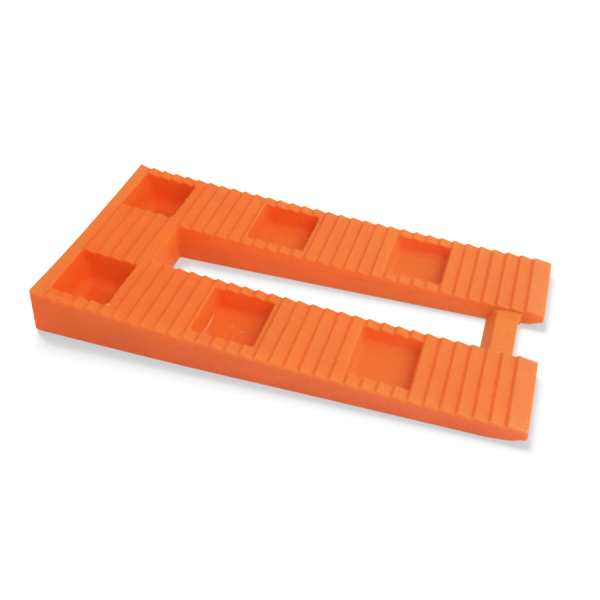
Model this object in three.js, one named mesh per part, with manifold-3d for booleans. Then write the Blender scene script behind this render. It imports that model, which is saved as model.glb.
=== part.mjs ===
// Tapered levelling wedge: one horseshoe-shaped plastic moulding. A ramp of ratchet teeth runs over the
// head and both legs, a slot open at the toe lets the wedge straddle a bolt or stud, six blind core
// pockets save plastic, and a thin break-off bar ties the tips of the legs together.
//
// Millimetres, +Z up. The head, the thick end, is at -X and the toe at +X. The underside lies on Z = 0.
// The origin is the centre of the whole outline, on the underside.

import * as THREE from 'three';
import { mergeVertices } from 'three/addons/utils/BufferGeometryUtils.js';
import Module from 'manifold-3d';

const wasm = await Module();
wasm.setup();

// ---- Driving dimensions ------------------------------------------------------------------------------

// Outline, seen from above
const BODY_WIDTH = 54.6;
const HEAD_LAND = 2.9; // from the head's end face to the first tooth root
const TOE_LAND = 4.3; // from the last tooth root to the toe's end face

// Ratchet teeth: each tread falls towards the toe, and each riser faces the head
const TOOTH_PITCH = 3;
const ROOT_COUNT = 32;
const TOOTH_RISE = 0.54;
const RISER_RUN = 0.58; // how far a riser leans back towards the toe

// Thickness
const ROOT_HEIGHT_HEAD = 9.72; // first tooth root above the underside
const ROOT_HEIGHT_TOE = 3.35; // last tooth root above the underside
const RAMP_HOLLOW = 0.71; // how far the row of roots dips below a straight line at mid length
const TOE_TOP = 3.15; // upper edge of the toe's end face
const TOE_LIFT = 1.6; // lower edge of the toe's end face, where the lead-in bevel ends
const TOE_BEVEL = 5; // length of the lead-in bevel under the toe

// Slot: straight walls above the mould's parting line, a small ledge at it, leaning walls below
const SLOT_START = 15.2; // its closed end, from the first tooth root
const SLOT_WIDTH = 14.3;
const PARTING_HEIGHT = 3.45;
const PARTING_LEDGE = 0.15;
const SLOT_LEAN = 0.35; // how far each lower wall leans in between the parting line and the underside

// Core pockets, one of each pair in either half; starts are measured from the first tooth root
const POCKETS = [
  { start: -0.2, length: 13.2 },
  { start: 30.9, length: 13.3 },
  { start: 62.7, length: 12.4 },
];
const POCKET_WIDTH = 14.6;
const POCKET_OFFSET = 17; // centre of a pocket from the middle of the wedge
const POCKET_FLOOR = 1.5; // plastic left under a pocket
const POCKET_LEAN = 0.25; // draft of each wall over the full height of the head

// Tie bar across the tips of the legs
const BAR_START = 87.75; // upper edge that faces the head, from the first tooth root
const BAR_WIDTH = 4.55; // across its top
const BAR_HEIGHT = 2.45;
const BAR_TOE_LEAN = 0.15; // how far the foot of its toe side stands out past the top
const BAR_HEAD_LEAN = 2.2; // the same on its head side, which slopes
const BAR_GAP = 0.15; // clearance to each leg, where the thin web snaps

// ---- Derived sizes -----------------------------------------------------------------------------------

const TOOTHED_LENGTH = (ROOT_COUNT - 1) * TOOTH_PITCH;
const BODY_LENGTH = HEAD_LAND + TOOTHED_LENGTH + TOE_LAND;
const FIRST_ROOT_X = -BODY_LENGTH / 2 + HEAD_LAND;
const HEAD_X = -BODY_LENGTH / 2;
const TOE_X = BODY_LENGTH / 2;
const SLOT_X = FIRST_ROOT_X + SLOT_START;
const SLOT_FOOT = PARTING_LEDGE + SLOT_LEAN; // how far the foot of each slot wall stands out below its top
const SPLIT_X = SLOT_X + SLOT_FOOT; // where the head ends and the legs begin
const CLEAR = 5; // how far cutting blocks run past the faces that they cut through

function rootHeight(index) {
  const along = index / (ROOT_COUNT - 1);
  const straight = THREE.MathUtils.lerp(ROOT_HEIGHT_HEAD, ROOT_HEIGHT_TOE, along);
  return straight - 4 * RAMP_HOLLOW * along * (1 - along);
}

const FIRST_TREAD_FALL = rootHeight(0) + TOOTH_RISE - rootHeight(1);
const TREAD_SLOPE = FIRST_TREAD_FALL / (TOOTH_PITCH - RISER_RUN);
const HEAD_TOP = rootHeight(0) + HEAD_LAND * TREAD_SLOPE;

// ---- Geometry helpers --------------------------------------------------------------------------------

// A closed three.js geometry as a solid that can be joined and cut
function toSolid(geometry) {
  const bare = geometry.clone();
  bare.deleteAttribute('normal');
  bare.deleteAttribute('uv');
  const welded = mergeVertices(bare);
  const mesh = new wasm.Mesh({
    numProp: 3,
    vertProperties: new Float32Array(welded.attributes.position.array),
    triVerts: new Uint32Array(welded.index.array),
  });
  return new wasm.Manifold(mesh);
}

// A solid back as a three.js geometry
function toGeometry(solid) {
  const mesh = solid.getMesh();
  const geometry = new THREE.BufferGeometry();
  geometry.setAttribute('position', new THREE.BufferAttribute(mesh.vertProperties, 3));
  geometry.setIndex(new THREE.BufferAttribute(mesh.triVerts, 1));
  geometry.computeVertexNormals();
  return geometry;
}

// A block between two corners. Its top face is moved in by topInset on each side, or out if negative.
function block(low, high, topInset = 0) {
  const size = new THREE.Vector3().subVectors(high, low);
  const middle = new THREE.Vector3().addVectors(low, high).multiplyScalar(0.5);
  const geometry = new THREE.BoxGeometry(size.x, size.y, size.z);
  const position = geometry.attributes.position;
  for (let i = 0; i < position.count; i += 1) {
    if (position.getZ(i) > 0) {
      position.setX(i, position.getX(i) - Math.sign(position.getX(i)) * topInset);
      position.setY(i, position.getY(i) - Math.sign(position.getY(i)) * topInset);
    }
  }
  geometry.translate(middle.x, middle.y, middle.z);
  return toSolid(geometry);
}

// An outline in X and Z as a prism across the wedge, centred on Y = 0
function prismAcross(outline, width) {
  const geometry = new THREE.ExtrudeGeometry(new THREE.Shape(outline), { depth: width, bevelEnabled: false });
  geometry.rotateX(Math.PI / 2);
  geometry.translate(0, width / 2, 0);
  return toSolid(geometry);
}

// ---- The moulding's shape ----------------------------------------------------------------------------

// Side view of the wedge: flat underside, lead-in bevel, toe, then the saw-tooth ramp back to the head
function sideOutline() {
  const outline = [
    new THREE.Vector2(HEAD_X, 0),
    new THREE.Vector2(TOE_X - TOE_BEVEL, 0),
    new THREE.Vector2(TOE_X, TOE_LIFT),
    new THREE.Vector2(TOE_X, TOE_TOP),
  ];
  for (let index = ROOT_COUNT - 1; index >= 0; index -= 1) {
    const x = FIRST_ROOT_X + index * TOOTH_PITCH;
    outline.push(new THREE.Vector2(x + RISER_RUN, rootHeight(index) + TOOTH_RISE));
    outline.push(new THREE.Vector2(x, rootHeight(index)));
  }
  outline.push(new THREE.Vector2(HEAD_X, HEAD_TOP));
  return outline;
}

// The open space of the slot, from its closed end out past the toe
function slotSpace() {
  const half = SLOT_WIDTH / 2;
  const upper = block(
    new THREE.Vector3(SLOT_X, -half, PARTING_HEIGHT),
    new THREE.Vector3(TOE_X + CLEAR, half, HEAD_TOP + CLEAR),
  );
  const lower = block(
    new THREE.Vector3(SPLIT_X, -half + SLOT_FOOT, 0),
    new THREE.Vector3(TOE_X + CLEAR, half - SLOT_FOOT, PARTING_HEIGHT),
    -SLOT_LEAN,
  );
  return upper.add(lower);
}

// The open space of one pocket; side is -1 or 1, for either half of the wedge
function pocketSpace({ start, length }, side) {
  const low = FIRST_ROOT_X + start;
  const middle = side * POCKET_OFFSET;
  return block(
    new THREE.Vector3(low + POCKET_LEAN, middle - POCKET_WIDTH / 2 + POCKET_LEAN, POCKET_FLOOR),
    new THREE.Vector3(low + length - POCKET_LEAN, middle + POCKET_WIDTH / 2 - POCKET_LEAN, HEAD_TOP),
    -POCKET_LEAN,
  );
}

function mouldedBody() {
  let body = prismAcross(sideOutline(), BODY_WIDTH).subtract(slotSpace());
  for (const pocket of POCKETS) {
    for (const side of [-1, 1]) {
      body = body.subtract(pocketSpace(pocket, side));
    }
  }
  return body;
}

function tieBar() {
  const low = FIRST_ROOT_X + BAR_START;
  const high = low + BAR_WIDTH;
  const outline = [
    new THREE.Vector2(low - BAR_HEAD_LEAN, 0),
    new THREE.Vector2(high + BAR_TOE_LEAN, 0),
    new THREE.Vector2(high, BAR_HEIGHT),
    new THREE.Vector2(low, BAR_HEIGHT),
  ];
  const foot = SLOT_WIDTH / 2 - SLOT_FOOT - BAR_GAP;
  const space = block(
    new THREE.Vector3(low - CLEAR, -foot, 0),
    new THREE.Vector3(high + CLEAR, foot, PARTING_HEIGHT),
    -SLOT_LEAN,
  );
  return prismAcross(outline, SLOT_WIDTH).intersect(space);
}

// The part of a solid between two X values and two Y values
function region(solid, lowX, highX, lowY, highY) {
  const low = new THREE.Vector3(lowX, lowY, -CLEAR);
  const high = new THREE.Vector3(highX, highY, HEAD_TOP + CLEAR);
  return solid.intersect(block(low, high));
}

// ---- The assembly ------------------------------------------------------------------------------------

function orangePlastic(color) {
  return new THREE.MeshStandardMaterial({ color, roughness: 0.42, metalness: 0, flatShading: true });
}

function addPart(group, name, solid, color) {
  const mesh = new THREE.Mesh(toGeometry(solid), orangePlastic(color));
  mesh.name = name;
  group.add(mesh);
}

const wedge = new THREE.Group();
const body = mouldedBody();
const edge = BODY_WIDTH / 2 + CLEAR;

addPart(wedge, 'head_block', region(body, HEAD_X - CLEAR, SPLIT_X, -edge, edge), '#f07a35');
addPart(wedge, 'leg_right', region(body, SPLIT_X, TOE_X + CLEAR, -edge, 0), '#f28440');
addPart(wedge, 'leg_left', region(body, SPLIT_X, TOE_X + CLEAR, 0, edge), '#f28440');
addPart(wedge, 'tie_bar', tieBar(), '#f58a46');

export default wedge;
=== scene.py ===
"""Looks of the levelling wedge: one orange, slightly translucent plastic moulding on a pale surface.

The moulding is one closed mesh inside the CAD box. Its top, underside and pocket floors are sheets
triangulated in plan, and the top is lifted to the tooth profile. Every wall is a loft of rings between
them, so rims, fillets, draft and the parting line are all real geometry. The tie bar is a second piece,
and flecks of torn plastic on the surface, with pale strips among them that are painted highlights, are a
third. Each mesh carries marks that its material reads: how worn a place is and how much painted shade
it gets, whether it lies below the parting line, and how far down a wall it is.
Lengths are in millimetres until a mesh is made. Light and stage sizes are in metres.
"""

import math
import random

import bmesh
import bpy
import numpy as np
from mathutils import Matrix, Vector, noise
from mathutils.geometry import delaunay_2d_cdt


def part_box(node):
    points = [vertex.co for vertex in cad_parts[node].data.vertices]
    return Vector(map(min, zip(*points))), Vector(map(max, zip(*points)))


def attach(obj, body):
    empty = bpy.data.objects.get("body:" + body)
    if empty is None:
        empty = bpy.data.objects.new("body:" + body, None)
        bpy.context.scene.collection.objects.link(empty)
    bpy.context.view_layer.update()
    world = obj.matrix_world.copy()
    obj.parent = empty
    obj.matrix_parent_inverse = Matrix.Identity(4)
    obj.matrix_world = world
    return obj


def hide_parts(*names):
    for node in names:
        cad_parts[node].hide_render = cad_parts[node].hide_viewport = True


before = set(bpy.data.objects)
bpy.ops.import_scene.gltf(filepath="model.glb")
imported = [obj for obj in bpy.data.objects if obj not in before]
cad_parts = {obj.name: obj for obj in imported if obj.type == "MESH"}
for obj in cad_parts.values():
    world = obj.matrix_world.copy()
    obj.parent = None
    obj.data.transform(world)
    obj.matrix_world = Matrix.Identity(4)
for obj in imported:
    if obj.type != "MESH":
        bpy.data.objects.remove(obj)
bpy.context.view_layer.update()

MM = 0.001

# ---- Sizes from the CAD frame -----------------------------------------------------------------------

head_low, head_high = (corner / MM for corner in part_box("head_block"))
leg_low, leg_high = (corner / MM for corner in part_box("leg_left"))
bar_low, bar_high = (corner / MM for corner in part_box("tie_bar"))

HEAD_X = head_low.x
TOE_X = leg_high.x
HEAD_TOP = head_high.z
HALF_WIDTH = head_high.y
SLOT_FOOT_HALF = leg_low.y  # half the slot's width at the underside
SLOT_FOOT_X = head_high.x  # its closed end at the underside

# ---- The design's own sizes --------------------------------------------------------------------------

HEAD_LAND = 2.9
TOE_LAND = 4.3
TOOTH_PITCH = 3.0
ROOT_COUNT = 32
TOOTH_RISE = 0.54
RISER_RUN = 0.58
ROOT_HEIGHT_HEAD = 9.72
ROOT_HEIGHT_TOE = 3.35
RAMP_HOLLOW = 0.71
TOE_TOP = 3.15
PARTING_HEIGHT = 3.45
PARTING_LEDGE = 0.15
SLOT_LEAN = 0.35
POCKETS = ((-0.2, 13.2), (30.9, 13.3), (62.7, 12.4))  # start from the first root, length
POCKET_WIDTH = 14.6
POCKET_OFFSET = 17.0
POCKET_FLOOR = 1.5
POCKET_LEAN = 0.25
BAR_START = 87.75
BAR_WIDTH = 4.55

FIRST_ROOT_X = HEAD_X + HEAD_LAND
BAR_MIDDLE = FIRST_ROOT_X + BAR_START + BAR_WIDTH / 2
SLOT_FOOT = PARTING_LEDGE + SLOT_LEAN
SLOT_HALF = SLOT_FOOT_HALF + SLOT_FOOT
SLOT_X = SLOT_FOOT_X - SLOT_FOOT

# ---- Fine shape that only the visual model has -------------------------------------------------------

SIDE_CLEARANCE = 0.1  # how far the top edge of each side stays inside the CAD box
SIDE_DRAFT = 0.22  # how much further out each side is at the underside
RIM = 0.22  # rounding where a wall meets the teeth
WORN_RIM = 0.9  # how far down it reaches where worn: outer sides, slot, the pockets' +Y sides
FOOT = 0.2  # rounding where an outer wall meets the underside
HEAD_FOOT = 0.95  # the same under the head's end, where it is worn rounder
HEAD_FOOT_REACH = 35.0  # how far along it has faded away
UNEVEN_HEIGHT = 0.035
UNEVEN_SCALE = 0.45  # waves of unevenness in each millimetre
FLASH = 0.08  # how far the parting line stands proud
FLASH_WIDTH = 0.14
POCKET_FILLET = 1.3  # at a pocket's floor, or more in a deep pocket
DEEP_FILLET = 0.42  # as a share of its depth
POCKET_ROUNDING = 0.8  # how much rounder its corners get on the way down, as a share of that fillet
RAGGED = 0.55  # how far torn bits of a pocket's rim may hang into it
PARTING_SHARE = 0.72  # the parting line is never further up a wall than this
BAR_FILLET = 0.5  # where the tie bar runs into the legs
BAR_TRIM = 0.2  # how far its foot stays inside the CAD bar
END_HOLLOW = 0.3  # how far the middle of the head's end sinks in
NEAR_CORNER_PROUD = 0.75  # how much less its -Y and +Y corners do
FAR_CORNER_PROUD = 0.2
SIDE_BOW = 0.14  # how far the -Y side bows out, where, and over what length
BOW_MIDDLE = -13.0
BOW_REACH = 17.0
CREST_SOFTNESS = 0.13
ROOT_SOFTNESS = 0.2
OUTER_CORNER = 0.45  # plan radii
SLOT_CORNER = 0.9
POCKET_CORNER = 0.8
LEAST_CORNER = 0.15  # no corner gets tighter than this on its way down
STEP_ALONG_Y = 0.7
ARC_STEPS = 5
MIN_STEP = 0.1  # how near an even point on a corner may come to one that a station needs
ROUND_STEPS = 5
TOE_UNDERSIDE = ((-7.1, 0.0), (-2.6, 0.5), (-1.0, 1.25), (0.0, 1.4))  # distance from the toe, height

# The wear_and_shade mark is 0 where the plastic is rubbed. Below 0 it paints shade, in the pockets and
# down the slot's walls where nothing rubs: -1 on a pocket's floor, less in a deep pocket. On the flecks
# it is how pale they are.
SLOT_SHADE = (0.0, -0.4, -0.7)  # painted shade down the slot's walls
POCKET_SHADE = -1.0  # painted shade on a pocket's floor
DEEP_POCKET_SHADE = -1.5
DEEP_POCKET = 7.0  # a pocket is a deep one where its toe side reaches higher than this
FLECK_HEIGHT = 0.09

# Flecks of torn plastic, and pale strips that are painted highlights on fillets and edges: x, y, height
# or None for on the teeth, length, width, direction and tilt in degrees, how pale.
FLECKS_AND_HIGHLIGHTS = (
    # on the floor of the middle pocket on the -Y side, specks that are painted glints on small marks,
    # and along its foot a painted highlight on the fillet
    (-11.0, -14.5, 1.52, 1.1, 0.13, 61, 0, 0.35),
    (-8.2, -15.4, 1.52, 1.3, 0.14, 61, 0, 0.45),
    (-11.1, -17.5, 1.52, 0.9, 0.12, 67, 0, 0.35),
    (-9.3, -17.6, 1.52, 0.9, 0.12, 64, 0, 0.35),
    (-7.9, -19.0, 1.52, 0.9, 0.12, 72, 0, 0.25),
    (-7.8, -12.0, 1.52, 0.25, 0.18, 30, 0, 0.3),
    (-15.57, -15.9, 1.99, 8.0, 0.75, 90, 42, 0.0),
    # on the floor of the middle pocket on the +Y side, specks that are painted glints on small marks
    (-11.2, 20.1, 1.52, 1.0, 0.14, 70, 0, 0.2),
    (-8.4, 18.9, 1.52, 1.0, 0.14, 70, 0, 0.25),
    (-11.2, 17.1, 1.52, 0.9, 0.14, 70, 0, 0.2),
    # painted highlights at the foot of the head side of the last pocket on the -Y side
    (15.75, -12.4, 1.93, 2.4, 0.2, 85, 42, 0.1),
    (15.7, -17.2, 1.95, 3.6, 0.2, 85, 42, 0.1),
    # along the -Y edge, on the teeth, at a pocket's corner and at the toe: nicks and burrs, and along
    # the toe's edge by the slot pale bands that are painted highlights
    (-43.7, -26.6, None, 1.3, 0.15, -8, 0, 0.6),
    (-41.1, -26.75, None, 0.9, 0.13, -10, 0, 0.45),
    (-10.7, -26.8, None, 0.5, 0.14, -10, 0, 0.35),
    (-16.2, -26.8, None, 0.4, 0.14, -10, 0, 0.3),
    (-19.1, -17.5, None, 0.3, 0.22, 0, 0, 0.6),
    (-34.0, -24.2, None, 0.6, 0.2, 60, 0, 0.7),
    (49.75, -26.6, None, 0.9, 0.2, 80, 20, 0.5),
    (48.7, -26.9, None, 1.5, 0.16, -8, 0, 0.4),
    (49.2, -25.6, None, 0.7, 0.25, 50, 0, 0.45),
    (48.2, -7.62, None, 3.4, 0.5, -2, 0, 0.45),
    (49.9, -8.6, None, 1.6, 0.15, 88, 0, 0.5),
)


# ---- Profiles along the wedge ------------------------------------------------------------------------

def root_height(index):
    along = index / (ROOT_COUNT - 1)
    straight = ROOT_HEIGHT_HEAD + (ROOT_HEIGHT_TOE - ROOT_HEIGHT_HEAD) * along
    return straight - 4 * RAMP_HOLLOW * along * (1 - along)


def softened(points, softness, steps=2):
    """The polyline with each inner corner replaced by a short curve that starts softness away."""
    result = [points[0]]
    for before, corner, after, soft in zip(points, points[1:], points[2:], softness[1:]):
        start = corner + (before - corner).normalized() * soft
        end = corner + (after - corner).normalized() * soft
        for step in range(steps + 1):
            t = step / steps
            result.append(start * (1 - t) ** 2 + corner * 2 * t * (1 - t) + end * t ** 2)
    result.append(points[-1])
    return result


def tooth_profile():
    """Upper outline from head to toe as X and Z arrays."""
    points = [Vector((HEAD_X, HEAD_TOP))]
    softness = [0]
    for index in range(ROOT_COUNT):
        x = FIRST_ROOT_X + index * TOOTH_PITCH
        points.append(Vector((x, root_height(index))))
        softness.append(ROOT_SOFTNESS)
        points.append(Vector((x + RISER_RUN, root_height(index) + TOOTH_RISE)))
        softness.append(CREST_SOFTNESS)
    points.append(Vector((TOE_X, TOE_TOP)))
    softness.append(0)
    outline = softened(points, softness)
    return np.array([p.x for p in outline]), np.array([p.y for p in outline])


PROFILE_X, PROFILE_Z = tooth_profile()


def top_height(x):
    return np.interp(x, PROFILE_X, PROFILE_Z)


def base_height(x):
    """Height of the underside: flat, then the lead-in under the toe."""
    from_toe, height = zip(*TOE_UNDERSIDE)
    return np.interp(np.asarray(x) - TOE_X, from_toe, height)


def pocket_floor(x):
    """Height of a pocket's floor, the same at every X."""
    return np.full(len(x), POCKET_FLOOR)


def foot_rounding(x):
    left = np.clip(1 - (x - HEAD_X) / HEAD_FOOT_REACH, 0, 1)
    return FOOT + (HEAD_FOOT - FOOT) * left ** 2


def line_stations():
    """X of every line that the top sheet is divided along: the profile's own points and mid-treads,
    but none on the rim of a wall across the wedge."""
    middles = FIRST_ROOT_X + TOOTH_PITCH * (np.arange(-1, ROOT_COUNT) + 0.62)
    lead_in = [TOE_X + from_toe for from_toe, height in TOE_UNDERSIDE[:-1]]
    stations = np.unique(np.round(np.concatenate([PROFILE_X[1:-1], middles, lead_in]), 4))
    walls = [HEAD_X + RIM, SLOT_X - RIM, TOE_X - RIM]
    for start, length in POCKETS:
        walls += [FIRST_ROOT_X + start - RIM, FIRST_ROOT_X + start + length + RIM]
    between = [x for x in stations if walls[0] < x < walls[2]]
    clear = [x for x in between if all(abs(x - wall) > 0.05 for wall in walls)]
    return [x for x, before in zip(clear, [HEAD_X, *clear]) if x - before > 0.04]


# ---- Rings: closed plan outlines whose points know which way is out ----------------------------------

class Ring:
    """A closed outline in plan that can be grown out of the plastic or shrunk into it.

    Each point is base + drift * out + arm * radius, summed over the corner before it and the one
    after it, so that a corner's radius follows the offset but never turns inside out."""

    def __init__(self):
        self.rows = []

    def add(self, base, drift, arms, corners, shares):
        radii = [corner[2] for corner in corners]
        signs = [1.0 if corner[3] else -1.0 for corner in corners]
        self.rows.append(np.concatenate([base, drift, *arms, radii, signs, shares]))

    def close(self):
        rows = np.array(self.rows)
        self.base, self.drift, self.arm_before, self.arm_after = (rows[:, i:i + 2] for i in (0, 2, 4, 6))
        self.radii, self.signs = rows[:, 8:10], rows[:, 10:12]
        self.slot_share, self.side_share = rows[:, 12], rows[:, 13]
        return self

    def moved(self, out, rounding=0.0):
        """The outline moved out of the plastic by out, a number or one for each point, with rounding
        added to every corner's radius."""
        out = np.broadcast_to(out, len(self.base))[:, None]
        least = np.minimum(self.radii, LEAST_CORNER)
        radii = np.maximum(self.radii + self.signs * out + rounding, least)
        arms = self.arm_before * radii[:, :1] + self.arm_after * radii[:, 1:]
        return self.base + self.drift * out + arms


def corner_arc(centre, start, turn, radius, edge_radius, stations):
    """Angles round a corner: the ones where its rim crosses a station, which have to stay, and even
    ones where there is room for them."""
    crossings = []
    for x in stations:
        cosine = (x - centre.x) / edge_radius
        if abs(cosine) < 1:
            for side in (-1, 1):
                for whole_turn in (-math.tau, 0, math.tau):
                    angle = side * math.acos(cosine) + whole_turn
                    if 0 <= (angle - start) / turn <= 1:
                        crossings.append(angle)
    room = MIN_STEP / radius
    even = [start + turn * i / ARC_STEPS for i in range(ARC_STEPS + 1)]
    even = [angle for angle in even if all(abs(angle - other) > room for other in crossings)]
    return sorted(crossings + even, reverse=turn < 0)


def trace(corners, stations, slot_sides=(), long_sides=()):
    """A ring around axis-aligned corners (x, y, radius, convex), with the plastic on the left.

    Its straight sides along X get a point at each station, and so do its corners, at the place where
    the rounded rim above them crosses it. slot_sides and long_sides are numbers of sides, and a side
    has the number of the corner it ends at."""
    ring = Ring()
    count = len(corners)
    for index, corner in enumerate(corners):
        following = corners[(index + 1) % count]
        here, before = Vector(corner[:2]), Vector(corners[index - 1][:2])
        after, beyond = Vector(following[:2]), Vector(corners[(index + 2) % count][:2])
        ways = (here - before, after - here, beyond - after)
        arrive, leave, turn_off = (way.normalized() for way in ways)
        out_before, out_here, out_after = (Vector((way.y, -way.x)) for way in (arrive, leave, turn_off))
        next_index = (index + 1) % count
        shares_in = np.array((index in slot_sides, index in long_sides), float)
        shares_out = np.array((next_index in slot_sides, next_index in long_sides), float)

        sign = 1 if corner[3] else -1
        edge_radius = corner[2] - sign * RIM
        edge_centre = here - (out_before + out_here) * RIM + (leave - arrive) * edge_radius
        start = math.atan2(-leave.y, -leave.x)
        turn = math.copysign(math.pi / 2, arrive.cross(leave))
        for angle in corner_arc(edge_centre, start, turn, corner[2], edge_radius, stations):
            arm = leave - arrive + Vector((math.cos(angle), math.sin(angle)))
            mix = (angle - start) / turn
            shares = shares_in * (1 - mix) + shares_out * mix
            ring.add(here, out_before + out_here, (arm, (0, 0)), (corner, corner), shares)

        end_radius = following[2] - (RIM if following[3] else -RIM)
        first = here - (out_before + out_here) * RIM + leave * edge_radius
        last = after - (out_here + out_after) * RIM - leave * end_radius
        for t in divisions(first, last, stations):
            drift = (out_before + out_here).lerp(out_here + out_after, t)
            arms = (leave * (1 - t), -leave * t)
            ring.add(here.lerp(after, t), drift, arms, (corner, following), shares_out)
    return ring.close()


def divisions(first, last, stations):
    """Fractions along a straight side: at the stations if it runs along X, else evenly spaced."""
    if abs(last.x - first.x) > abs(last.y - first.y):
        fractions = [(x - first.x) / (last.x - first.x) for x in stations]
        return sorted(t for t in fractions if 0 < t < 1)
    steps = max(1, round(abs(last.y - first.y) / STEP_ALONG_Y))
    return [i / steps for i in range(1, steps)]


def body_ring(stations):
    side = HALF_WIDTH - SIDE_CLEARANCE
    corners = [
        (HEAD_X, -side, OUTER_CORNER, True),
        (TOE_X, -side, OUTER_CORNER, True),
        (TOE_X, -SLOT_HALF, OUTER_CORNER, True),
        (SLOT_X, -SLOT_HALF, SLOT_CORNER, False),
        (SLOT_X, SLOT_HALF, SLOT_CORNER, False),
        (TOE_X, SLOT_HALF, OUTER_CORNER, True),
        (TOE_X, side, OUTER_CORNER, True),
        (HEAD_X, side, OUTER_CORNER, True),
    ]
    return trace(corners, stations, slot_sides=(3, 4, 5), long_sides=(1, 7))


def pocket_ring(start, length, side, stations):
    low = FIRST_ROOT_X + start
    y_low = side * POCKET_OFFSET - POCKET_WIDTH / 2
    y_high = side * POCKET_OFFSET + POCKET_WIDTH / 2
    corners = [
        (low, y_low, POCKET_CORNER, False),
        (low, y_high, POCKET_CORNER, False),
        (low + length, y_high, POCKET_CORNER, False),
        (low + length, y_low, POCKET_CORNER, False),
    ]
    return trace(corners, stations, long_sides=(2,))


# ---- Walls: rings stacked from the teeth downwards ---------------------------------------------------

def level(ring, out, height, rounding=0.0):
    """One ring of 3-D points. height is a number, an array, or a function of X."""
    plan = ring.moved(out, rounding)
    z = height(plan[:, 0]) if callable(height) else height
    return np.column_stack([plan, np.broadcast_to(z, len(plan))])


def rim_depth(ring):
    """How far down a wall its rim's rounding reaches: further where it is worn."""
    x = ring.moved(0)[:, 0]
    worn = np.maximum(ring.side_share, ring.slot_share)
    return np.minimum(RIM + (WORN_RIM - RIM) * worn, (top_height(x) - base_height(x)) / 4)


def rim_levels(ring):
    result = []
    for angle in np.linspace(0, math.pi / 2, ROUND_STEPS):
        drop = rim_depth(ring) * (1 - math.cos(angle))
        inset = RIM * (1 - math.sin(angle))
        result.append(level(ring, -inset, lambda x, drop=drop: top_height(x) - drop))
    return result


def parting_line(ring):
    """Height of the mould's parting line along the outer and slot walls."""
    x = ring.moved(0)[:, 0]
    highest = base_height(x) + PARTING_SHARE * (top_height(x) - base_height(x))
    height = np.minimum(PARTING_HEIGHT, highest)
    return np.minimum(height, top_height(x) - rim_depth(ring) - 1.5 * FLASH_WIDTH)


def body_levels(ring):
    """The outer and slot walls. They lean out on the way down, and the slot's has a small ledge below
    the parting line as far as the tie bar."""
    x = ring.moved(0)[:, 0]
    rim_z = top_height(x) - rim_depth(ring)
    base_z = base_height(x)
    parting_z = parting_line(ring)
    below_z = parting_z - FLASH_WIDTH
    foot = np.minimum(foot_rounding(x), (below_z - base_z) * 0.6)
    slot = ring.slot_share * np.interp(x, (BAR_MIDDLE - 1, BAR_MIDDLE + 1), (1, 0))
    slot_lean = SLOT_LEAN * np.interp(x, (SLOT_X, BAR_MIDDLE), (0.8, 1.1))
    flash = FLASH * (x < BAR_MIDDLE)

    def lean(z):
        """How far out the wall is at z, above the parting line."""
        return ring.side_share * SIDE_DRAFT * (rim_z - z) / (rim_z - base_z - foot)

    levels = rim_levels(ring)
    for part in (0.25, 0.5, 0.75, 1.0):
        z = rim_z + (parting_z + FLASH_WIDTH - rim_z) * part
        levels.append(level(ring, lean(z), z))
    levels.append(level(ring, lean(parting_z) + flash + slot * PARTING_LEDGE, parting_z))
    levels.append(level(ring, lean(below_z) + slot * PARTING_LEDGE, below_z))
    for part in (0.33, 0.67, 1.0):
        z = below_z + (base_z + foot - below_z) * part
        levels.append(level(ring, lean(z) + slot * (PARTING_LEDGE + slot_lean * part), z))
    reach = lean(base_z + foot) + slot * (PARTING_LEDGE + slot_lean)
    for angle in np.linspace(0, math.pi / 2, ROUND_STEPS)[1:]:
        inset = foot * (1 - math.cos(angle))
        lift = foot * (1 - math.sin(angle))
        levels.append(level(ring, reach - inset, lambda x, lift=lift: base_height(x) + lift))
    return levels


def pocket_levels(ring):
    """A pocket's walls down to its floor. Bits of the rim are torn and hang in, most of all towards
    the toe."""
    plan = ring.moved(0)
    rim_z = top_height(plan[:, 0]) - rim_depth(ring)
    fillet = max(POCKET_FILLET, DEEP_FILLET * (rim_z.min() - POCKET_FLOOR))
    fillet_z = POCKET_FLOOR + fillet
    torn = np.array([noise.noise(Vector((x, y, 0)) * 1.1) for x, y in plan])
    from_start = (plan[:, 0] - plan[:, 0].min()) / np.ptp(plan[:, 0])
    torn = RAGGED * np.clip(torn, 0, 1) * from_start ** 3
    levels = rim_levels(ring)
    for row, share in enumerate(np.linspace(0, 1, ROUND_STEPS)):
        levels[row][:, :2] += ring.moved(torn * share) - plan
    for part in (0.12, 0.33, 0.67, 1.0):
        hanging = torn * max(0, 0.6 - 3 * part)
        z = rim_z + (fillet_z - rim_z) * part
        levels.append(level(ring, POCKET_LEAN * part + hanging, z, POCKET_ROUNDING * fillet * part))
    for angle in np.linspace(0, math.pi / 2, ROUND_STEPS + 2)[1:]:
        reach = POCKET_LEAN + fillet * (1 - math.cos(angle))
        z = POCKET_FLOOR + fillet * (1 - math.sin(angle))
        levels.append(level(ring, reach, z, POCKET_ROUNDING * fillet))
    return levels


# ---- Sheets: flat or lifted areas between rings ------------------------------------------------------

def inside(points, loop):
    """Which points lie inside a closed loop, by counting crossings."""
    x, y = points[:, 0], points[:, 1]
    result = np.zeros(len(points), bool)
    for (x0, y0), (x1, y1) in zip(loop, np.roll(loop, -1, axis=0)):
        if y0 != y1:
            crosses = (y0 > y) != (y1 > y)
            result ^= crosses & (x < (x1 - x0) * (y - y0) / (y1 - y0) + x0)
    return result


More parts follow.
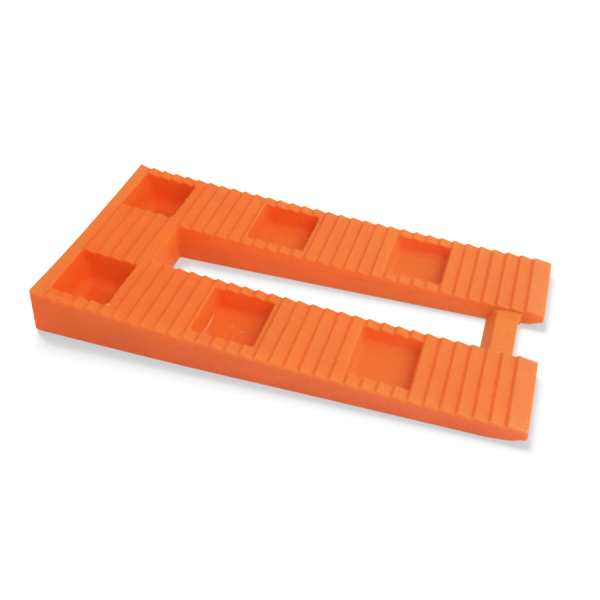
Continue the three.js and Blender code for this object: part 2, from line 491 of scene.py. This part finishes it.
def sheet(outer, holes, height, stations=(), spacing=2.0, margin=0.45):
    """Vertices and triangles over the area inside outer and outside holes. Each station X becomes a
    line of edges from loop to loop, with free points about spacing apart along it."""
    outer, *holes = loops = [np.round(loop, 4) for loop in (outer, *holes)]  # exactly straight sides
    points = [tuple(p) for loop in loops for p in loop]
    edges = []
    offset = 0
    for loop in loops:
        count = len(loop)
        edges += [(offset + i, offset + (i + 1) % count) for i in range(count)]
        offset += count
    plan = np.array(points)
    for x in stations:
        on_line = np.nonzero(np.abs(plan[:, 0] - x) < 1e-4)[0]
        on_line = on_line[np.argsort(plan[on_line, 1])]
        if len(on_line) % 2:  # a line that only touches a rim divides nothing
            continue
        for first, last in zip(on_line[::2], on_line[1::2]):
            y_first, y_last = plan[first, 1], plan[last, 1]
            steps = max(1, round((y_last - y_first) / spacing))
            chain = [int(first)]
            for i in range(1, steps):
                chain.append(len(points))
                points.append((x, y_first + (y_last - y_first) * i / steps))
            chain.append(int(last))
            edges += list(zip(chain, chain[1:]))
    if not len(stations):
        points += grid_points(outer, holes, spacing, margin)
    found = delaunay_2d_cdt([Vector(p) for p in points], edges, [], 0, 1e-5)
    plan = np.array([tuple(v) for v in found[0]])
    triangles = np.array([f for f in found[2]])
    middle = plan[triangles].mean(axis=1)
    keep = inside(middle, outer)
    for hole in holes:
        keep &= ~inside(middle, hole)
    return np.column_stack([plan, np.broadcast_to(height(plan[:, 0]), len(plan))]), triangles[keep]


def gap_to(loop, points):
    """Distance from each point to the nearest side of a closed loop."""
    sides = np.roll(loop, -1, axis=0) - loop
    reach = points[:, None] - loop
    along = np.clip((reach * sides).sum(axis=2) / (sides ** 2).sum(axis=1), 0, 1)
    return np.linalg.norm(reach - along[..., None] * sides, axis=2).min(axis=1)


def grid_points(outer, holes, spacing, margin):
    """Free points on a staggered grid, kept clear of every loop."""
    low, high = outer.min(axis=0), outer.max(axis=0)
    rows = np.arange(low[1] + spacing / 2, high[1], spacing)
    grid = [
        (x + (row % 2) * spacing / 2, y)
        for row, y in enumerate(rows)
        for x in np.arange(low[0] + spacing / 3, high[0], spacing)
    ]
    grid = np.array(grid)
    keep = inside(grid, outer)
    for loop in (outer, *holes):
        keep &= gap_to(loop, grid) > margin
    for hole in holes:
        keep &= ~inside(grid, hole)
    return [tuple(p) for p in grid[keep]]


# ---- The moulding ------------------------------------------------------------------------------------

def as_moulded(points):
    """Shrinkage and wear: the head end is hollow with its -Y corner proud, that side bows out a
    little, and no surface but the underside is quite even."""
    x, y, z = points.T
    across = y / HALF_WIDTH
    end = np.interp(x, (HEAD_X, FIRST_ROOT_X), (1, 0))
    near_corner = NEAR_CORNER_PROUD * np.clip(-across, 0, 1) ** 2.2
    far_corner = FAR_CORNER_PROUD * np.clip(across, 0, 1) ** 3
    hollow = END_HOLLOW - near_corner - far_corner
    side = np.interp(-y, (HALF_WIDTH - 2.5, HALF_WIDTH - 0.5), (0, 1))
    bow = SIDE_BOW * np.exp(-((x - BOW_MIDDLE) / BOW_REACH) ** 2)
    moved = np.column_stack([x + end * hollow, y - side * bow, z])
    uneven = np.array([noise.noise_vector(Vector(p) * UNEVEN_SCALE) for p in points])
    rising = np.clip(z / 1.0, 0, 1)[:, None]
    return moved + uneven * rising * UNEVEN_HEIGHT


class Shell:
    """Vertices and faces gathered from sheets and walls, then welded into one closed mesh.

    Each vertex has three marks: wear_and_shade, which holds its wear and its painted shade; low, which
    is 1 below the parting line; and drop, which is how far down its wall it is."""

    def __init__(self):
        self.points = []
        self.faces = []
        self.marks = {"wear_and_shade": [], "low": [], "drop": []}

    def mark(self, **values):
        for name, value in values.items():
            self.marks[name] += list(value)

    def add_sheet(self, points, triangles, wear_and_shade=0.0):
        offset = len(self.points)
        self.points += [tuple(p) for p in points]
        self.faces += [tuple(int(i) + offset for i in t) for t in triangles]
        self.mark(wear_and_shade=[wear_and_shade] * len(points), low=[0.0] * len(points), drop=[0.0] * len(points))

    def add_wall(self, levels, wear_and_shade=(0.0,), parting=-1.0):
        """Faces between each level and the next. wear_and_shade has a value for each level, the last
        repeated, and parting is the height of the parting line."""
        count = len(levels[0])
        offset = len(self.points)
        for row, ring in enumerate(levels):
            self.points += [tuple(p) for p in ring]
            here = np.broadcast_to(wear_and_shade[min(row, len(wear_and_shade) - 1)], count)
            low = np.clip(parting - ring[:, 2] + 0.5, 0, 1)
            self.mark(wear_and_shade=here, low=low, drop=levels[0][:, 2] - ring[:, 2])
        for row in range(len(levels) - 1):
            upper = offset + row * count
            lower = upper + count
            for i in range(count):
                j = (i + 1) % count
                self.faces.append((upper + i, lower + i, lower + j, upper + j))

    def to_object(self, name, reshape=lambda points: points):
        mesh = bpy.data.meshes.new(name)
        mesh.from_pydata(reshape(np.array(self.points)) * MM, [], self.faces)
        for mark, values in self.marks.items():
            mesh.attributes.new(mark, "FLOAT", "POINT").data.foreach_set("value", values)
        shape = bmesh.new()
        shape.from_mesh(mesh)
        bmesh.ops.remove_doubles(shape, verts=shape.verts, dist=0.002 * MM)
        bmesh.ops.recalc_face_normals(shape, faces=shape.faces)
        for face in shape.faces:
            face.smooth = True
        shape.to_mesh(mesh)
        shape.free()
        thing = bpy.data.objects.new(name, mesh)
        bpy.context.scene.collection.objects.link(thing)
        return thing


def make_moulding():
    stations = line_stations()
    body = body_ring(stations)
    pockets = [
        pocket_ring(start, length, side, stations)
        for start, length in POCKETS
        for side in (-1, 1)
    ]
    shell = Shell()
    outer = body.moved(-RIM)
    holes = [p.moved(-RIM) for p in pockets]
    shell.add_sheet(*sheet(outer, holes, top_height, stations))
    walls = body_levels(body)
    # Painted shade down the slot's walls, by the wear_and_shade mark.
    wear_and_shade = [0.0] * ROUND_STEPS + [share * body.slot_share for share in SLOT_SHADE]
    shell.add_wall(walls, wear_and_shade, parting_line(body))
    lead_in = [x for x in stations if x > TOE_X + TOE_UNDERSIDE[0][0] - 0.01]
    shell.add_sheet(*sheet(walls[-1][:, :2], [], base_height, lead_in, spacing=3.0))
    for pocket in pockets:
        levels = pocket_levels(pocket)
        # Painted shade in each pocket: darker down its walls and on its floor, most in a deep pocket.
        deep = top_height(levels[0][:, 0].max()) > DEEP_POCKET
        floor_shade = DEEP_POCKET_SHADE if deep else POCKET_SHADE
        down_wall = np.linspace(0, POCKET_SHADE / 2, len(levels) - ROUND_STEPS - 1)
        shell.add_wall(levels, [0.0] * ROUND_STEPS + [*down_wall, floor_shade])
        flat = sheet(levels[-1][:, :2], [], pocket_floor, spacing=0.9, margin=0.3)
        shell.add_sheet(*flat, wear_and_shade=floor_shade)
    return shell.to_object("wedge_moulding", as_moulded)


def make_tie_bar():
    """A sloped-backed bar, softened along its upper edges, whose ends run a little into the legs."""
    top = bar_high.z
    left, right = bar_low.x + BAR_TRIM, bar_high.x - BAR_TRIM / 2
    top_left = FIRST_ROOT_X + BAR_START
    lift = 0.05  # keeps its underside clear of the legs' underside where they overlap
    wall = SLOT_HALF - PARTING_LEDGE
    to_wall = wall - BAR_FILLET * (1 - np.sin(np.linspace(0, math.pi / 2, 7)))
    half = [0, 1.5, 3, 4.5, *to_wall, SLOT_HALF + 0.3]
    rings = []
    for y in [*(-y for y in half[:0:-1]), *half]:
        into_fillet = min(1, max(0, (abs(y) - wall) / BAR_FILLET + 1))
        grown = BAR_FILLET * (1 - math.sqrt(1 - into_fillet ** 2))
        outline = [
            (left - grown, lift),
            (right + grown, lift),
            (top_left + BAR_WIDTH + grown, top + grown),
            (top_left - grown, top + grown),
        ]
        corners = [Vector(p) for p in outline]
        section = []
        for index, corner in enumerate(corners):
            before, after = corners[index - 1], corners[(index + 1) % 4]
            section += softened([before, corner, after], [0, 0.25, 0], 3)[1:-1]
        rings.append(np.array([(p.x, y, p.y) for p in section]))
    shell = Shell()
    shell.add_wall(rings)
    for ring in (rings[0], rings[-1]):
        shell.add_sheet(ring, [range(len(ring))])
    return shell.to_object("tie_bar_moulding")


def make_flecks_and_highlights():
    """Thin lens-shaped slivers that lie half sunk in the surface: torn plastic, and pale strips that are
    painted highlights.
    """
    rng = random.Random(5)
    shell = Shell()
    for x, y, height, length, width, direction, tilt, paleness in FLECKS_AND_HIGHLIGHTS:
        turned = Matrix.Rotation(math.radians(direction), 3, "Z")
        turn = turned @ Matrix.Rotation(math.radians(tilt), 3, "X")
        if height is None:
            height = float(top_height(x))
            fall = float(top_height(x - length / 3)) - float(top_height(x + length / 3))
            turn = Matrix.Rotation(math.atan2(fall, length / 1.5), 3, "Y") @ turn
        bend = rng.uniform(-1, 1) * width
        rings = []
        for along in np.linspace(-1, 1, 9):
            girth = math.sqrt(1 - along ** 2) * rng.uniform(0.75, 1.0) + 0.1
            ring = []
            for angle in np.arange(0, math.tau, math.tau / 8):
                offset = Vector((
                    along * length / 2,
                    math.cos(angle) * girth * width / 2 + bend * along ** 2,
                    math.sin(angle) * girth * FLECK_HEIGHT,
                ))
                ring.append(tuple(Vector((x, y, height)) + turn @ offset))
            rings.append(np.array(ring))
        shell.add_wall(rings, [paleness])
        for ring in (rings[0], rings[-1]):
            shell.add_sheet(ring, [range(len(ring))], wear_and_shade=paleness)
    return shell.to_object("flecks_and_highlights")


# ---- Materials ---------------------------------------------------------------------------------------

GLOW_RADIUS = (2.5, 0.8, 0.45)  # how far red, green and blue light spread in the plastic, in units of
GLOW_SCALE = 2.0  # this many millimetres
# The toe is paler than the head: painted light that shows through the thinner plastic there.
HEAD_COLOUR = (0.84, 0.158, 0.018, 1)
TOE_COLOUR = (0.85, 0.22, 0.047, 1)
SCRATCH_AND_HIGHLIGHT_COLOUR = (1.0, 0.19, 0.05, 1)  # the least and the most whitened scratches; the least also colours the painted highlight strips
PALE_COLOUR = (1.0, 0.6, 0.4, 1)
RECESS_SHADE_TINT = (0.95, 0.92, 0.82, 1)  # painted shade on surfaces that nothing rubs against, in the pockets and down the slot's walls
DEEP_POCKET_SHADE_TINT = (0.84, 0.72, 0.75, 1)  # deeper painted shade in a deep pocket
MARGIN_SHEEN_TINT = (0.95, 1.1, 1.22, 1)  # painted sheen: paler along the long edges
HEAD_LAND_SHEEN_TINT = (0.83, 1.22, 1.95, 1)  # painted sheen on the upward faces of the plain lands at the two ends
TOE_LAND_SHEEN_TINT = (0.96, 1.1, 1.5, 1)
LAND_BLEND = 0.8  # how far into a land its tint fades in
SIDE_SHADE_TINT = (0.87, 0.75, 0.85, 1)  # painted shade: the outer sides are a little darker and duller
SIDE_SHADE_BLEND = 1.0  # fully so from this far below their rim
LOW_SIDE_LIGHT_TINT = (1.13, 1.03, 1.0, 1)  # painted light: the outer sides are brighter and redder again below the parting line
LOW_TINT = (0.95, 0.97, 1.35, 1)  # walls are greyer below the parting line
BAR_TINT = (1.07, 1.09, 0.88, 1)  # the thin tie bar lets light through, so it looks paler


def orange_plastic(name="orange_plastic", glow=1.0, gloss=0.2, tint=(1.0, 1.0, 1.0, 1)):
    """Slightly translucent orange plastic: paler towards the thin end, which is painted light showing
    through the thinner plastic, mottled, with a fine grain. It also paints shade, sheen and light where
    the marks and masks below put them.
    """
    material = bpy.data.materials.new(name)
    material.use_nodes = True
    nodes, links = material.node_tree.nodes, material.node_tree.links
    shader = nodes["Principled BSDF"]
    shader.inputs["IOR"].default_value = 1.49
    shader.inputs["Specular IOR Level"].default_value = gloss
    shader.inputs["Subsurface Weight"].default_value = glow
    shader.inputs["Subsurface Radius"].default_value = GLOW_RADIUS
    shader.inputs["Subsurface Scale"].default_value = GLOW_SCALE * MM
    place = nodes.new("ShaderNodeTexCoord").outputs["Object"]

    def texture(waves_per_mm, detail, stretch=(1, 1, 1)):
        mapping = nodes.new("ShaderNodeMapping")
        mapping.inputs["Scale"].default_value = stretch
        links.new(place, mapping.inputs["Vector"])
        made = nodes.new("ShaderNodeTexNoise")
        made.inputs["Scale"].default_value = waves_per_mm / MM
        made.inputs["Detail"].default_value = detail
        links.new(mapping.outputs["Vector"], made.inputs["Vector"])
        return made.outputs["Fac"]

    def ranged(source, *ends):
        """Source mapped from the range of the first two ends to that of the last two, and clamped."""
        made = nodes.new("ShaderNodeMapRange")
        for name, value in zip(("From Min", "From Max", "To Min", "To Max"), ends):
            made.inputs[name].default_value = value
        links.new(source, made.inputs["Value"])
        return made.outputs["Result"]

    def mixed(factor, first, second, blend="MIX"):
        made = nodes.new("ShaderNodeMix")
        made.data_type = "RGBA"
        made.blend_type = blend
        sockets = {"Factor_Float": factor, "A_Color": first, "B_Color": second}
        for socket in made.inputs:
            value = sockets.get(socket.identifier)
            if value is None:
                continue
            if isinstance(value, (tuple, float)):
                socket.default_value = value
            else:
                links.new(value, socket)
        return next(socket for socket in made.outputs if socket.identifier == "Result_Color")

    def tinted(base, factor, tint):
        return mixed(factor, base, mixed(1.0, base, tint, "MULTIPLY"))

    facing = nodes.new("ShaderNodeSeparateXYZ")
    links.new(nodes.new("ShaderNodeTexCoord").outputs["Normal"], facing.inputs[0])
    upward = ranged(facing.outputs["Z"], 0.4, 0.8, 0.0, 1.0)

    def product(first, second):
        made = nodes.new("ShaderNodeMath")
        made.operation = "MULTIPLY"
        links.new(first, made.inputs[0])
        links.new(second, made.inputs[1])
        return made.outputs[0]

    def mark(name):
        made = nodes.new("ShaderNodeAttribute")
        made.attribute_name = name
        return made.outputs["Fac"]

    along = nodes.new("ShaderNodeSeparateXYZ")
    links.new(place, along.inputs[0])
    # Painted light: the colour grows paler towards the thin toe, where light shows through.
    thin = ranged(along.outputs["X"], HEAD_X * MM, TOE_X * MM, 0.0, 1.0)
    colour = mixed(1.0, mixed(thin, HEAD_COLOUR, TOE_COLOUR), tint, "MULTIPLY")
    # Painted shade in the pockets and down the slot's walls, deeper in a deep pocket.
    recess_shade = ranged(mark("wear_and_shade"), -1.0, 0.0, 1.0, 0.0)
    deep = ranged(mark("wear_and_shade"), -2.0, -1.0, 1.0, 0.0)
    colour = tinted(tinted(colour, recess_shade, RECESS_SHADE_TINT), deep, DEEP_POCKET_SHADE_TINT)
    mottle = ranged(texture(0.12, 3), 0.35, 0.65, 0.96, 1.03)
    speckle = ranged(texture(2.2, 2), 0.3, 0.7, 0.94, 1.06)
    brushed = ranged(texture(3.0, 1, (0.1, 1, 1)), 0.3, 0.7, 0.95, 1.05)
    rubbed = product(product(upward, thin), ranged(mark("wear_and_shade"), -0.5, 0.0, 0.0, 1.0))
    for pattern, factor in ((mottle, 1.0), (speckle, 1.0), (brushed, rubbed)):
        colour = mixed(factor, colour, mixed(1.0, colour, pattern, "MULTIPLY"))
    from_middle = nodes.new("ShaderNodeMath")
    from_middle.operation = "ABSOLUTE"
    links.new(along.outputs["Y"], from_middle.inputs[0])

    def between(source, start, end):
        """0 at start and before it, 1 at end and beyond it, both in millimetres."""
        return ranged(source, start * MM, end * MM, 0.0, 1.0)

    toe_land_x = TOE_X - TOE_LAND
    # Painted sheen along the long edges.
    margin = between(from_middle.outputs[0], HALF_WIDTH - 3.2, HALF_WIDTH - 1.2)
    # Painted sheen on the upward faces of the two end lands.
    head_land = between(along.outputs["X"], FIRST_ROOT_X, FIRST_ROOT_X - LAND_BLEND)
    toe_land = between(along.outputs["X"], toe_land_x, toe_land_x + LAND_BLEND)
    # Painted shade on the outer sides, lifted again by painted light below the parting line.
    side = between(from_middle.outputs[0], HALF_WIDTH - 0.6, HALF_WIDTH - 0.1)
    side = product(side, ranged(mark("drop"), 0.0, SIDE_SHADE_BLEND, 0.0, 1.0))
    colour = tinted(colour, margin, MARGIN_SHEEN_TINT)
    colour = tinted(colour, product(upward, head_land), HEAD_LAND_SHEEN_TINT)
    colour = tinted(colour, product(upward, toe_land), TOE_LAND_SHEEN_TINT)
    colour = tinted(colour, side, SIDE_SHADE_TINT)
    colour = tinted(colour, mark("low"), LOW_TINT)
    colour = tinted(colour, product(side, mark("low")), LOW_SIDE_LIGHT_TINT)
    links.new(colour, shader.inputs["Base Color"])

    links.new(ranged(texture(0.9, 3), 0.3, 0.7, 0.5, 0.64), shader.inputs["Roughness"])

    bump = nodes.new("ShaderNodeBump")
    bump.inputs["Strength"].default_value = 0.35
    bump.inputs["Distance"].default_value = 0.02 * MM
    links.new(texture(3.0, 2), bump.inputs["Height"])
    links.new(bump.outputs["Normal"], shader.inputs["Normal"])
    return material


def scratch_and_highlight_plastic():
    """What torn or scratched bits look like: whitened, and too thin to glow. The pale strips that are
    painted highlights use it too.
    """
    material = bpy.data.materials.new("scratch_and_highlight_plastic")
    material.use_nodes = True
    nodes, links = material.node_tree.nodes, material.node_tree.links
    shader = nodes["Principled BSDF"]
    shader.inputs["Roughness"].default_value = 0.6
    shader.inputs["Specular IOR Level"].default_value = 0.3
    worn = nodes.new("ShaderNodeAttribute")
    worn.attribute_name = "wear_and_shade"
    grain = nodes.new("ShaderNodeTexNoise")
    grain.inputs["Scale"].default_value = 4.0 / MM
    links.new(nodes.new("ShaderNodeTexCoord").outputs["Object"], grain.inputs["Vector"])
    whitening = nodes.new("ShaderNodeMath")
    whitening.operation = "MULTIPLY_ADD"
    links.new(grain.outputs["Fac"], whitening.inputs[0])
    whitening.inputs[1].default_value = 0.2
    links.new(worn.outputs["Fac"], whitening.inputs[2])
    shade = nodes.new("ShaderNodeValToRGB")
    shade.color_ramp.elements[0].color = SCRATCH_AND_HIGHLIGHT_COLOUR
    shade.color_ramp.elements[1].color = PALE_COLOUR
    links.new(whitening.outputs[0], shade.inputs["Fac"])
    links.new(shade.outputs["Color"], shader.inputs["Base Color"])
    return material


def pale_surface():
    """A white surface with a faint cool glow of its own, which keeps the shadow on it grey."""
    material = bpy.data.materials.new("pale_surface")
    material.use_nodes = True
    shader = material.node_tree.nodes["Principled BSDF"]
    shader.inputs["Base Color"].default_value = FLOOR_COLOUR
    shader.inputs["Roughness"].default_value = 0.9
    shader.inputs["Emission Color"].default_value = FLOOR_GLOW_COLOUR
    shader.inputs["Emission Strength"].default_value = FLOOR_GLOW
    return material


# ---- Stage, light and camera -------------------------------------------------------------------------

# A camera's response: input and output level.
TONE_CURVE = ((0.0, 0.0), (0.3, 0.3), (0.66, 0.7), (0.8, 0.84), (0.92, 0.905), (1.0, 0.94))
FLOOR_COLOUR = (0.26, 0.265, 0.268, 1)
FLOOR_GLOW_COLOUR = (0.9, 0.97, 1.0, 1)
FLOOR_GLOW = 0.48
FLOOR_GAP = 0.05  # how far it lies below the wedge
ROOM_DARK_SIDE = 0.25
ROOM_BRIGHT_SIDE = 1.0
ROOM_BRIGHT_WAY = (0.95, 0.3, 0.0)
KEY_LIGHT = {"direction": (0.62, -0.3, 1.0), "distance": 1.6, "size": 1.5, "power": 15.2}
FLOOR_LIGHT = {"direction": (-0.4, 0.47, 1.0), "distance": 2.4, "size": 1.12, "power": 155.0}
CAMERA_AZIMUTH = 20.22  # degrees from -Y towards +X
CAMERA_ELEVATION = 37.32
CAMERA_ROLL = -1.03
CAMERA_TARGET = (-0.01546, 0.003, 0.0)  # the point of the surface it is turned round
CAMERA_DISTANCE = 0.20293
CAMERA_LENS = 53.92
CAMERA_SHIFT = (0.1, -1 / 30)  # of the frame: the view is moved right and down


def add_floor():
    shape = bmesh.new()
    bmesh.ops.create_grid(shape, x_segments=8, y_segments=8, size=4.0)
    mesh = bpy.data.meshes.new("floor")
    shape.to_mesh(mesh)
    shape.free()
    floor = bpy.data.objects.new("floor", mesh)
    floor.location.z = -FLOOR_GAP * MM
    mesh.materials.append(pale_surface())
    bpy.context.scene.collection.objects.link(floor)
    return floor


def add_area_light(name, lit, direction, distance, size, power):
    """A square softbox that stands in that direction from the origin and lights only some objects."""
    light = bpy.data.lights.new(name, "AREA")
    light.size = size
    light.energy = power
    lamp = bpy.data.objects.new(name, light)
    towards = Vector(direction).normalized()
    lamp.location = towards * distance
    lamp.rotation_euler = towards.to_track_quat("Z", "Y").to_euler()
    bpy.context.scene.collection.objects.link(lamp)
    lamp.light_linking.receiver_collection = bpy.data.collections.new(name + "_lit")
    for thing in lit:
        lamp.light_linking.receiver_collection.objects.link(thing)


def add_room():
    """A plain room that is brighter on one side."""
    world = bpy.data.worlds.new("studio")
    world.use_nodes = True
    nodes, links = world.node_tree.nodes, world.node_tree.links
    way = nodes.new("ShaderNodeVectorMath")
    way.operation = "DOT_PRODUCT"
    way.inputs[1].default_value = ROOM_BRIGHT_WAY
    links.new(nodes.new("ShaderNodeTexCoord").outputs["Generated"], way.inputs[0])
    brightness = nodes.new("ShaderNodeMapRange")
    brightness.inputs["From Min"].default_value = -1.0
    brightness.inputs["To Min"].default_value = ROOM_DARK_SIDE
    brightness.inputs["To Max"].default_value = ROOM_BRIGHT_SIDE
    links.new(way.outputs["Value"], brightness.inputs["Value"])
    links.new(brightness.outputs["Result"], nodes["Background"].inputs["Strength"])
    nodes["Background"].inputs["Color"].default_value = (1, 1, 1, 1)
    bpy.context.scene.world = world


def set_tones():
    """A camera-like tone curve on linear light: the brightest tones roll off towards white."""
    view = bpy.context.scene.view_settings
    view.view_transform = "Standard"
    view.use_curve_mapping = True
    mapping = view.curve_mapping
    mapping.extend = "EXTRAPOLATED"
    mapping.use_clip = False
    curve = mapping.curves[3]
    curve.points[0].location = TONE_CURVE[0]
    curve.points[1].location = TONE_CURVE[-1]
    for x, y in TONE_CURVE[1:-1]:
        curve.points.new(x, y)
    mapping.update()


def add_camera():
    """Seen from the -Y side, a little round towards the toe, and from above."""
    camera = bpy.data.cameras.new("camera")
    camera.lens = CAMERA_LENS
    camera.shift_x, camera.shift_y = CAMERA_SHIFT
    camera.clip_start = 0.01
    thing = bpy.data.objects.new("camera", camera)
    thing.matrix_world = (
        Matrix.Translation(CAMERA_TARGET)
        @ Matrix.Rotation(math.radians(CAMERA_AZIMUTH), 4, "Z")
        @ Matrix.Rotation(math.radians(90 - CAMERA_ELEVATION), 4, "X")
        @ Matrix.Rotation(math.radians(CAMERA_ROLL), 4, "Z")
        @ Matrix.Translation((0, 0, CAMERA_DISTANCE))
    )
    bpy.context.scene.collection.objects.link(thing)
    bpy.context.scene.camera = thing


set_tones()
add_camera()
add_room()
floor = add_floor()
plastic = orange_plastic()

moulding = make_moulding()
tie_bar = make_tie_bar()
flecks_and_highlights = make_flecks_and_highlights()
bar_plastic = orange_plastic("tie_bar_plastic", 0.0, 0.38, BAR_TINT)
for piece, finish in ((moulding, plastic), (tie_bar, bar_plastic), (flecks_and_highlights, scratch_and_highlight_plastic())):
    piece.data.materials.append(finish)
    weights = piece.modifiers.new("flat_faces_stay_flat", "WEIGHTED_NORMAL")
    weights.keep_sharp = True
    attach(piece, "root")
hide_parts("head_block", "leg_left", "leg_right")
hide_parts("tie_bar")
add_area_light("key_softbox", (moulding, tie_bar, flecks_and_highlights), **KEY_LIGHT)
add_area_light("floor_softbox", (floor,), **FLOOR_LIGHT)
